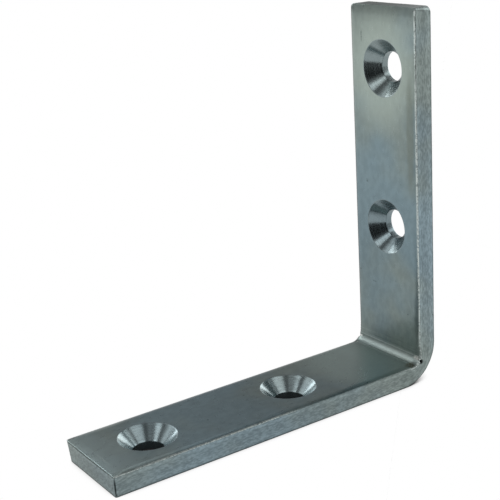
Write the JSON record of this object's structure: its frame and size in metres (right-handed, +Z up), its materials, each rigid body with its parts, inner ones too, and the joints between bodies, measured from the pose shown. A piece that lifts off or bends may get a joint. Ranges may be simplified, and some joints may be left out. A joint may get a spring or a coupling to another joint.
{
  "type": "corner brace bracket",
  "caption": "Right-angled corner brace bent from flat steel bar, with countersunk screw holes in both legs and rounded outer bend.",
  "frame": {"origin": "the corner where the flat outer faces of the two legs would meet if the bend were sharp, at the middle of the bar's width", "axes": "+Z up along the upright leg, whose outer face is the plane X = 0 and looks along +X; the flat leg runs along -X on its outer face, the plane Z = 0; Y across the width"},
  "size_m": [0.08, 0.0208, 0.081],
  "materials": {
    "zinc_plated_steel": "blue-passivated zinc plating over rolled steel, satin, with brighter sheared edges and turned countersinks"
  },
  "bodies": {
    "root": {"bracket": "zinc_plated_steel"}
  },
  "joints": []
}
